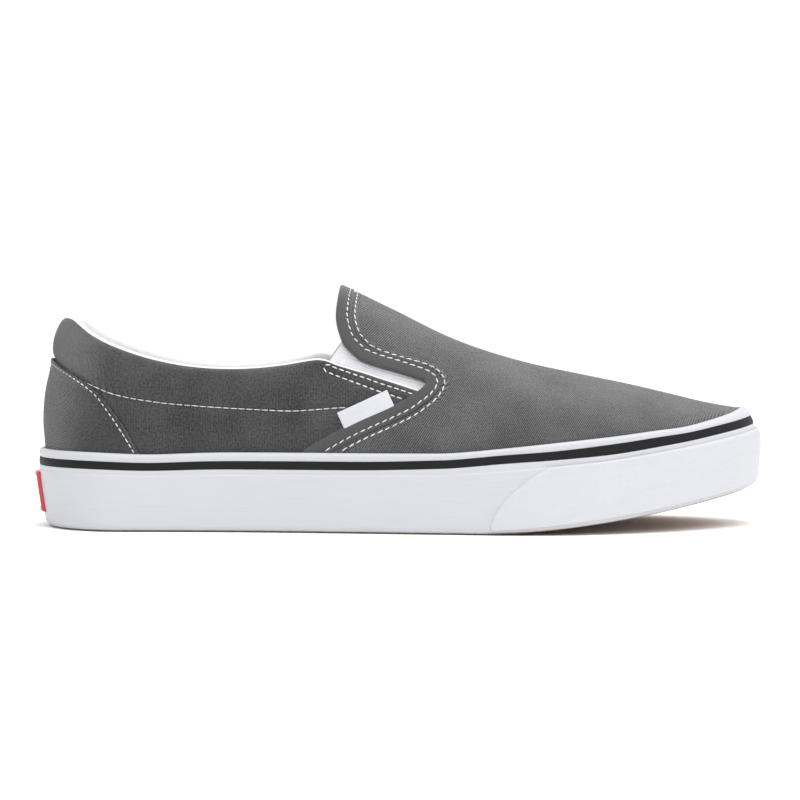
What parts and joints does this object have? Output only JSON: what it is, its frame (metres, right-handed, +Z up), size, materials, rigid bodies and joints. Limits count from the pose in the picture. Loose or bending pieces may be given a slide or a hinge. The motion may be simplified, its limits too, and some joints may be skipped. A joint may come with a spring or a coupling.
{
  "type": "slip-on sneaker",
  "caption": "Right low slip-on sneaker: hollow canvas upper with padded collar and elastic gores over a wrapped, side-striped white rubber sole with toe spring.",
  "frame": {"origin": "on the floor under the middle of the whole shoe's box", "axes": "+X towards the toe, +Y towards the inner side of the foot, +Z up from the floor"},
  "size_m": [0.2948, 0.1076, 0.0973],
  "materials": {
    "canvas": "matt cotton canvas, fine twill on the vamp and counter, plain weave on the quarters",
    "white_rubber": "smooth white vulcanised rubber, satin",
    "dark_rubber": "near-black rubber strip, satin",
    "gum_rubber": "gum-brown rubber, satin",
    "elastic": "white ribbed elastic",
    "lining": "white cotton lining cloth",
    "patch_rubber": "red rubber with a plain white face",
    "thread": "off-white twisted sewing thread"
  },
  "bodies": {
    "root": {"outsole": "gum_rubber", "foxing": "white_rubber", "foxing_stripe": "dark_rubber", "toe_bumper": "white_rubber", "heel_patch": "patch_rubber", "upper": "canvas", "insole": "lining", "gore_lateral": "elastic", "gore_medial": "elastic", "side_tab": "lining"}
  },
  "joints": []
}
